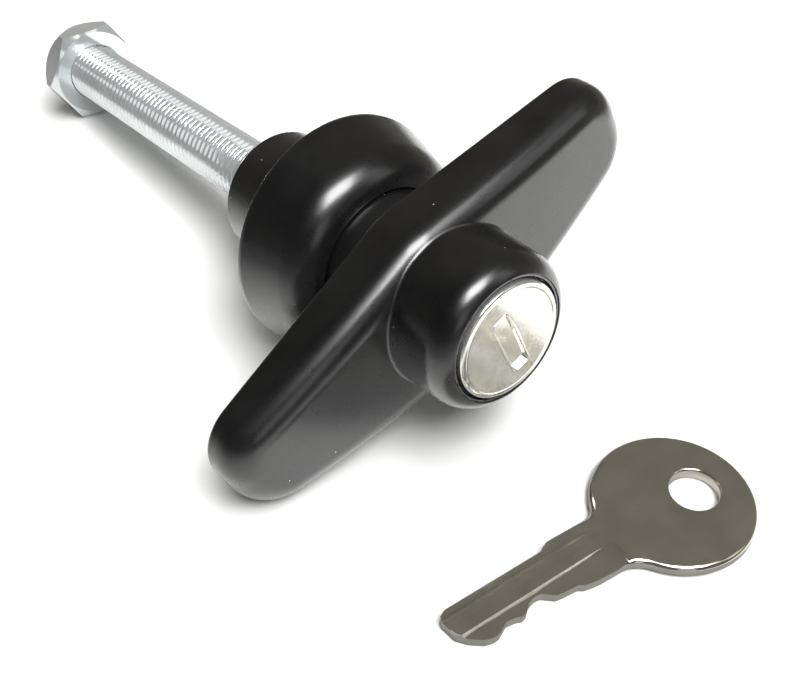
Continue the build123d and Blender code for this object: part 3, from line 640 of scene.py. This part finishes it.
# The rim is burnished brighter than the dish
capMesh.materials.append(finishes["rimPlate"])
rimStart = capSizes.radius - capSizes.rimWidth - 0.02
for polygon in capMesh.polygons:
    centre = np.array(polygon.center) / mm
    if math.hypot(centre @ alongBar, centre @ acrossBar) > rimStart:
        polygon.material_index = 1
settle("face_cap_smooth", capMesh, "plug", "face_cap")
print("cap made")

# Nut: hexagon with both faces chamfered, one flat down
nutSizes = SimpleNamespace(
    acrossFlats=16.0, front=-76.7, frontFaceRadius=7.7, frontChamfer=30.0, rear=-82.1, rearFaceRadius=7.6,
    rearChamfer=62.0, bore=5.07, boreChamfer=0.3, sideEdge=0.6, segments=360)


def makeNut(size):
    count = size.segments
    roll = math.atan2(acrossBar[0], alongBar[0])
    angles = 2 * math.pi * np.arange(count) / count
    fromFlat = (angles + math.pi / 6) % (math.pi / 3) - math.pi / 6
    hexagon = size.acrossFlats / 2 / np.cos(math.pi / 6 - np.abs(fromFlat))
    ring = ringMaker(np.cos(angles + roll), np.sin(angles + roll))
    rings = []
    for face, inward, faceRadius, chamfer in (
        (size.front, -1, size.frontFaceRadius, size.frontChamfer),
        (size.rear, 1, size.rearFaceRadius, size.rearChamfer)):
        slope = math.tan(math.radians(chamfer))
        mouth = size.bore + size.boreChamfer
        half = [
            ring(size.bore, face + inward * size.boreChamfer),
            ring(mouth, face),
            ring(mouth + hairline, face),
            ring(faceRadius - hairline, face),
            ring(faceRadius, face),
        ]
        for share in (0.15, 0.5, 0.85, 1.0):
            radius = faceRadius + (hexagon - faceRadius) * share
            half.append(ring(radius, face + inward * (radius - faceRadius) * slope))
        drop = (hexagon - faceRadius) * slope
        half += [ring(hexagon, face + inward * (drop + below)) for below in (hairline, size.sideEdge)]
        rings += half if inward < 0 else half[::-1]
    return ringMesh("nut_smooth", rings)


nutMesh = makeNut(nutSizes)
finishMesh(nutMesh, "zincPlate", 22)
settle("nut_smooth", nutMesh, "nut", "nut")

# Stud: a rod whose skin follows one right-handed helix, made by a Geometry Nodes tree
studSizes = {"Front": -2.9, "Rear": -82.1, "Radius": 5.0, "Root Radius": 4.25, "Shank Radius": 4.9,
             "Shank End": -12.2, "Thread Start": -16.1, "Pitch": 1.25, "Crest": 0.16, "End Chamfer": 0.8}
studGrid = {"Vertices": 48, "Side Segments": 1980, "Radius": 1.0}  # enough rows to draw the flanks


def makeStudTree(size, grid):
    tree, start, end = newTree("threadedStud", "GeometryNodeTree", size,
                               [("Material", "INPUT", "Material"), ("Geometry", "OUTPUT", "Geometry")])

    def calc(operation, *values):
        return calculate(tree, operation, *values)

    value = start.outputs
    length = calc("SUBTRACT", value["Front"], value["Rear"])
    middle = calc("MULTIPLY", calc("ADD", value["Front"], value["Rear"]), 0.5)
    rod = addNode(tree, "GeometryNodeMeshCylinder", {**grid, "Depth": length}).outputs["Mesh"]
    place = addNode(tree, "GeometryNodeInputPosition").outputs[0]
    x, y, z = addNode(tree, "ShaderNodeSeparateXYZ", {0: place}).outputs
    station = calc("ADD", z, middle)
    # Share of the turn and of the pitch give the height on the thread's flank
    turnShare = calc("DIVIDE", calc("ARCTAN2", y, x), 2 * math.pi)
    turns = calc("SUBTRACT", calc("DIVIDE", station, value["Pitch"]), turnShare)
    pitchShare = calc("FRACT", calc("ADD", turns, 500.0))  # whole turns that keep it positive
    wave = calc("ABSOLUTE", calc("SUBTRACT", calc("MULTIPLY", pitchShare, 2.0), 1.0))
    flatShare = calc("DIVIDE", value["Crest"], value["Pitch"])
    flank = addRamp(tree, wave, flatShare, calc("SUBTRACT", 1.0, flatShare), value["Root Radius"],
                    value["Radius"], "LINEAR")
    # The thread runs out over one pitch at its start
    runOutEnd = calc("SUBTRACT", value["Thread Start"], value["Pitch"])
    runOut = addRamp(tree, station, runOutEnd, value["Thread Start"], 0.0, 1.0)
    missing = calc("SUBTRACT", value["Radius"], flank)
    threaded = calc("ADD", flank, calc("MULTIPLY", missing, runOut))
    # The shank in front of the thread is a little thinner, and the rear end is chamfered
    onShank = calc("GREATER_THAN", station, value["Shank End"])
    thinner = calc("SUBTRACT", value["Radius"], value["Shank Radius"])
    body = calc("SUBTRACT", threaded, calc("MULTIPLY", onShank, thinner))
    rearLimit = calc("ADD", calc("SUBTRACT", value["Radius"], value["End Chamfer"]),
                     calc("SUBTRACT", station, value["Rear"]))
    radius = calc("MINIMUM", body, rearLimit)
    # The caps' centres stay on the axis
    onSide = calc("GREATER_THAN", calc("ADD", calc("MULTIPLY", x, x), calc("MULTIPLY", y, y)), 0.5)
    factor = calc("MULTIPLY", radius, onSide)
    moved = addNode(tree, "ShaderNodeCombineXYZ", {
        0: calc("MULTIPLY", x, factor), 1: calc("MULTIPLY", y, factor), 2: station}).outputs[0]
    shaped = addNode(tree, "GeometryNodeSetPosition", {"Geometry": rod, "Position": moved}).outputs[0]
    real = addNode(tree, "GeometryNodeRealizeInstances", {0: shaped}).outputs[0]
    coated = addNode(tree, "GeometryNodeSetMaterial", {"Geometry": real, "Material": value["Material"]})
    setInputs(end, {0: coated.outputs[0]})
    return tree


# Runs a Geometry Nodes tree once and returns its result as a plain mesh
def treeResult(name, tree, inputs):
    carrier = addObject(name, bpy.data.meshes.new(name))
    modifier = carrier.modifiers.new(name, "NODES")
    modifier.node_group = tree
    for item in tree.interface.items_tree:
        if item.item_type == "SOCKET" and item.in_out == "INPUT" and item.name in inputs:
            modifier[item.identifier] = inputs[item.name]
    evaluated = carrier.evaluated_get(bpy.context.evaluated_depsgraph_get())
    mesh = bpy.data.meshes.new_from_object(evaluated)
    carrier.modifiers.remove(modifier)
    bpy.data.objects.remove(carrier)
    return mesh


studMesh = treeResult("stud_thread", makeStudTree(studSizes, studGrid),
                      {**studSizes, "Material": finishes["zincPlate"]})
studPoints = np.empty(len(studMesh.vertices) * 3)
studMesh.vertices.foreach_get("co", studPoints)
studMesh.vertices.foreach_set("co", toWorld(studPoints.reshape(-1, 3)).ravel())
studMesh.update()
finishMesh(studMesh, "zincPlate", 50)
settle("stud_thread", studMesh, "stud", "stud")
print("nut and stud made:", len(studMesh.polygons), "faces on the stud")

# Key: a rounded blank with a milled groove and step, lying on the table
keySizes = SimpleNamespace(
    x=12.9, y=-58.0, turn=-4.6, thickness=2.0, bowX=-1.1, bowRadius=11.45, hole=(2.5, -0.5),
    holeRadius=3.45, backFillet=2.6, cutFillet=5.0, backHeight=4.45, cutHeight=-4.1, bowEdge=0.85,
    bladeEdge=0.15, bladeFrom=-17.0, bowFrom=-13.0, holeEdge=0.4, depth=0.5, millRadius=14.0,
    millStart=-60.0, grooveEnd=-13.6, stepEnd=-12.4,
    groove=((0.95, -0.5), (2.45, -0.5), (2.8, 0.01), (3.1, 0.6), (0.9, 0.6)),
    step=((-9.0, -0.5), (-0.75, -0.5), (-0.45, 0.01), (-0.45, 0.6), (-9.0, 0.6)))
# The blade's outline in the key's own frame, from its back round the tip and over the cuts
keyProfile = [
    (-19.9, 4.35), (-20.9, 3.95), (-21.5, 3.6), (-37.0, 3.65), (-38.0, 3.2), (-38.2, 2.6),
    (-37.9, 0.2), (-36.9, -1.1), (-35.3, -2.4), (-34.2, -2.75), (-33.3, -2.75), (-31.5, -1.9),
    (-30.1, -2.1), (-29.3, -2.45), (-28.6, -2.25), (-27.5, -1.4), (-26.4, -1.1), (-25.4, -1.2),
    (-23.9, -2.5), (-22.7, -2.7), (-20.6, -2.9), (-19.9, -3.4), (-18.6, -3.7), (-17.5, -3.85),
]


def keyOutline(size):
    bow, back, cut = size.bowRadius, size.backFillet, size.cutFillet
    backY, cutY = size.backHeight, size.cutHeight
    backCentre = np.array([-math.sqrt((bow + back) ** 2 - (backY + back) ** 2), backY + back])
    cutCentre = np.array([-math.sqrt((bow + cut) ** 2 - (cutY - cut) ** 2), cutY - cut])

    def towards(point):
        return math.degrees(math.atan2(point[1], point[0]))

    def arc(centre, radius, first, last, shares):
        turns = np.radians(first + (last - first) * shares)
        return [centre + radius * np.array([math.cos(turn), math.sin(turn)]) for turn in turns]

    # From the blade's cut edge along the lower fillet, round the bow and back over the upper fillet
    filletShares, bowShares = np.arange(13) / 12, np.arange(1, 120) / 120
    points = arc(cutCentre, cut, 90, towards(-cutCentre), filletShares)
    points += arc(0, bow, towards(cutCentre), towards(backCentre), bowShares)
    points += arc(backCentre, back, towards(-backCentre), -90, filletShares)
    return [(x + size.bowX, y) for x, y in points] + keyProfile


# A plate between z = 0 and its thickness, with every edge rounded; outlines are the outer one and the holes
def roundedPlate(name, outlines, roundings, thickness, steps=5):
    points, faces, flats = [], [], ([], [])
    for outline, rounding in zip(outlines, roundings):
        outline, rounding = np.asarray(outline, float), np.asarray(rounding, float)[:, None]
        along = np.roll(outline, -1, 0) - np.roll(outline, 1, 0)
        along /= np.linalg.norm(along, axis=1)[:, None]
        inward = np.stack([-along[:, 1], along[:, 0]], 1)  # holes run clockwise
        count, first, rings = len(outline), len(points), 2 * (steps + 1)
        for ring in range(rings):
            turn = math.pi / 2 * (ring % (steps + 1)) / steps
            if ring <= steps:
                inset, height = rounding * (1 - math.sin(turn)), rounding * (1 - math.cos(turn))
            else:
                inset, height = rounding * (1 - math.cos(turn)), thickness - rounding * (1 - math.sin(turn))
            points += np.hstack([outline + inward * inset, height + np.zeros((count, 1))]).tolist()
        for ring in range(rings - 1):
            for index in range(count):
                here, after = first + ring * count + index, first + ring * count + (index + 1) % count
                faces.append((here, after, after + count, here + count))
        flats[0].append([(index + first, points[index + first]) for index in range(count)])
        top = first + (rings - 1) * count
        flats[1].append([(index + top, points[index + top]) for index in range(count)])
    for loops in flats:
        numbers = [number for loop in loops for number, place in loop]
        flat = [[Vector((place[0], place[1], 0)) for number, place in loop] for loop in loops]
        corners = tessellate_polygon(flat)
        faces += [tuple(numbers[corner] for corner in triangle) for triangle in corners]
    return solidFrom(name, points, faces)


# An object of one closed mesh, with its faces turned outwards
def solidFrom(name, points, faces):
    mesh = bpy.data.meshes.new(name)
    mesh.from_pydata(points, [], faces)
    outward = bmesh.new()
    outward.from_mesh(mesh)
    bmesh.ops.recalc_face_normals(outward, faces=outward.faces)
    outward.to_mesh(mesh)
    outward.free()
    return addObject(name, mesh)


# A milling cutter's path: one section drawn along the blade, lifted along the disc's arc where it runs out
def cutterSolid(name, section, endX, size):
    runOut = math.sqrt(2 * size.millRadius * size.depth - size.depth**2)
    stations = [(size.millStart, 0.0)]
    for step in range(25):
        reach = runOut * 1.15 * step / 24  # a little beyond where it leaves the metal
        rise = size.millRadius - math.sqrt(size.millRadius**2 - reach**2)
        stations.append((endX - runOut + reach, rise))
    points, faces = [], []
    for x, rise in stations:
        points += [(x, y, size.thickness + z + rise) for y, z in section]
    count = len(section)
    for index in range(len(stations) - 1):
        for corner in range(count):
            here, after = index * count + corner, index * count + (corner + 1) % count
            faces.append((here, after, after + count, here + count))
    faces.append(tuple(range(count))[::-1])
    faces.append(tuple(range(len(points) - count, len(points))))
    return solidFrom(name, points, faces)


def makeKey(size):
    turns = -2 * math.pi * np.arange(72) / 72
    hole = np.array(size.hole) + size.holeRadius * np.stack([np.cos(turns), np.sin(turns)], 1)
    outline = np.array(keyOutline(size))
    # The bow's edge is well rounded and the blade's is nearly sharp
    bowShare = np.clip((outline[:, 0] - size.bladeFrom) / (size.bowFrom - size.bladeFrom), 0, 1)
    rounding = size.bladeEdge + (size.bowEdge - size.bladeEdge) * bowShare
    blank = roundedPlate("key_blank", [outline, hole], [rounding, np.full(len(hole), size.holeEdge)],
                         size.thickness)
    cutters = [cutterSolid("groove", size.groove, size.grooveEnd, size),
               cutterSolid("step", size.step, size.stepEnd, size)]
    for cutter in cutters:
        cut = blank.modifiers.new(cutter.name, "BOOLEAN")
        cut.operation, cut.solver, cut.object = "DIFFERENCE", "FAST", cutter
    mesh = bpy.data.meshes.new_from_object(blank.evaluated_get(bpy.context.evaluated_depsgraph_get()))
    for helper in (blank, *cutters):
        bpy.data.objects.remove(helper)
    # Its place on the table
    turn = math.radians(size.turn)
    for vertex in mesh.vertices:
        x, y, z = vertex.co
        vertex.co = (
            mm * (size.x + x * math.cos(turn) - y * math.sin(turn)),
            mm * (size.y + x * math.sin(turn) + y * math.cos(turn)),
            tableHeight + mm * z,
        )
    return mesh


keyMesh = makeKey(keySizes)
finishMesh(keyMesh, "keyPlate", 28)
settle("key_milled", keyMesh, "key", "key")
print("key made:", len(keyMesh.polygons), "faces")

# Floor: a white sheet, lit to full white where it is near or far; reflections see it with a painted pool of light
# and a painted shadow
# litCentre to unlit set the painted pool of light, and shadeCentre to shadeLevel the painted shadow in front of
# the lock
stageSizes = SimpleNamespace(
    floorHalf=3.0, floorColour=(0.92, 0.92, 0.91), below=0.00002, floorGlow=0.03, farGlow=1.0, farFrom=0.22,
    farTo=0.55, litCentre=(0.08, -0.02, 0.0), litWithin=0.08, litUntil=0.20, unlit=0.20,
    shadeCentre=(-0.005, -0.060, -0.018), shadeWithin=0.0205, shadeUntil=0.0265, shadeLevel=0.28)


def makeFloorLook(size):
    material = bpy.data.materials.new("floorLook")
    material.use_nodes = True
    tree = material.node_tree
    rays = addNode(tree, "ShaderNodeLightPath").outputs
    place = addNode(tree, "ShaderNodeTexCoord").outputs["Object"]
    reach = vectorResult(tree, "DISTANCE", place, size.litCentre)
    shadeReach = vectorResult(tree, "DISTANCE", place, size.shadeCentre)
    # Painted pool of light: reflections see the floor's colour fade away from the lit centre, as a white sheet in
    # a darker room does
    paintedPoolFade = addRamp(tree, reach, size.litWithin, size.litUntil, 1.0, size.unlit)
    # Painted shadow: reflections see a darker disc of floor in front of the lock, where its shadow falls
    shade = addRamp(tree, shadeReach, size.shadeWithin, size.shadeUntil, size.shadeLevel, 1.0)
    # The camera sees the floor's full colour; other rays see it with the painted pool of light and painted shadow
    paintedLightLevel = calculate(tree, "MAXIMUM", calculate(tree, "MULTIPLY", paintedPoolFade, shade), rays["Is Camera Ray"])
    colour = mixColours(tree, paintedLightLevel, (0, 0, 0, 1), (*size.floorColour, 1))
    # A faint glow for the rays that see the backdrop, dimmed by the same painted pool of light and painted shadow,
    # and a full one far off for the camera's own
    seen = calculate(tree, "MAXIMUM", rays["Is Camera Ray"], rays["Is Glossy Ray"])
    seen = calculate(tree, "MAXIMUM", seen, rays["Is Transmission Ray"])
    near = calculate(tree, "MULTIPLY", calculate(tree, "MULTIPLY", seen, size.floorGlow), paintedLightLevel)
    far = addRamp(tree, reach, size.farFrom, size.farTo, 0.0, size.farGlow)
    far = calculate(tree, "MULTIPLY", far, rays["Is Camera Ray"])
    setInputs(tree.nodes["Principled BSDF"], {
        "Base Color": colour, "Roughness": 1.0, "Specular IOR Level": 0.0, "Emission Color": (1, 1, 1, 1),
        "Emission Strength": calculate(tree, "ADD", near, far)})
    return material


half, height = stageSizes.floorHalf, tableHeight - stageSizes.below
floorMesh = bpy.data.meshes.new("floor")
floorCorners = [(x * half, y * half, height) for x, y in ((-1, -1), (1, -1), (1, 1), (-1, 1))]
floorMesh.from_pydata(floorCorners, [], [(0, 1, 2, 3)])
floorMesh.materials.append(makeFloorLook(stageSizes))
floor = addObject("floor", floorMesh)

# World: white to the camera, and to everything else a pale horizon under a dim room
worldSizes = SimpleNamespace(
    roomColour=(1.0, 0.93, 0.76), pale=0.22, dim=0.10, paleBelow=0.05, dimAbove=0.40,
    brightSide=(0.85, 0.52, 0.0), shadeFrom=-0.35, shadeTo=0.5, shaded=0.25)


def makeWorld(size):
    world = bpy.data.worlds.new("studio")
    world.use_nodes = True
    tree = world.node_tree
    camera = addNode(tree, "ShaderNodeLightPath").outputs["Is Camera Ray"]
    place = addNode(tree, "ShaderNodeTexCoord").outputs["Generated"]
    upward = addNode(tree, "ShaderNodeSeparateXYZ", {0: place}).outputs[2]
    fall = addRamp(tree, upward, size.paleBelow, size.dimAbove, size.pale, size.dim)
    side = vectorResult(tree, "DOT_PRODUCT", place, size.brightSide)
    shade = addRamp(tree, side, size.shadeFrom, size.shadeTo, size.shaded, 1.0)
    room = calculate(tree, "MULTIPLY", fall, shade)
    strength = addNode(tree, "ShaderNodeMix", {"Factor": camera, "A": room, "B": 1.0}, data_type="FLOAT")
    colour = mixColours(tree, camera, (*size.roomColour, 1), (1, 1, 1, 1))
    setInputs(tree.nodes["Background"], {"Strength": strength.outputs[0], "Color": colour})
    return world


bpy.context.scene.world = makeWorld(worldSizes)

# Lamps: the window and its halo give the highlights, the cards the wings' sheen, the fill the even light
# Each row: where it stands seen from the lock, its distance, its width and height, and its power
lampRows = {
    "window": ((-0.10, -0.52, 0.85), 0.9, (0.48, 0.36), 6.4),
    "halo": ((-0.06, -0.47, 0.90), 1.0, (0.90, 0.42), 1.7),
    "rightCard": ((0.50, -0.66, 0.56), 1.0, (0.30, 0.45), 0.30),
    "leftCard": ((-0.36, -0.87, 0.33), 1.0, (0.30, 0.36), 0.22),
    "fill": ((0.09, -0.14, 1.0), 1.2, (0.64, 0.64), 9.4),
}
for name, (towards, distance, spread, power) in lampRows.items():
    light = bpy.data.lights.new(name, "AREA")
    light.shape, light.energy = "RECTANGLE", power
    light.size, light.size_y = spread
    lamp = addObject(name, light)
    lamp.location = np.array(towards) / np.linalg.norm(towards) * distance
    lamp.rotation_mode = "QUATERNION"
    lamp.rotation_quaternion = lamp.location.to_track_quat("Z", "Y")
    lamp.visible_glossy = name != "fill"  # the fill leaves no highlight

# Camera, from the photograph's own perspective
cameraSizes = SimpleNamespace(
    place=(-79.977, -107.539, 107.248), right=(0.76849, -0.63961, 0.01785),
    down=(-0.43484, -0.54253, -0.71873), sensor=36.0, lens=51.79, shift=(-0.0034, -0.0024), nearest=0.005)
right, down = np.array(cameraSizes.right), np.array(cameraSizes.down)
ahead = np.cross(right, down)
camera = addObject("camera", bpy.data.cameras.new("camera"))
rows = [[right[row], -down[row], -ahead[row], cameraSizes.place[row] * mm] for row in range(3)]
camera.matrix_world = Matrix(rows + [[0, 0, 0, 1]])
camera.data.sensor_width, camera.data.lens = cameraSizes.sensor, cameraSizes.lens
camera.data.shift_x, camera.data.shift_y = cameraSizes.shift
camera.data.clip_start = cameraSizes.nearest
bpy.context.scene.camera = camera
bpy.context.scene.view_settings.view_transform = "Standard"
print("stage, lamps and camera made")
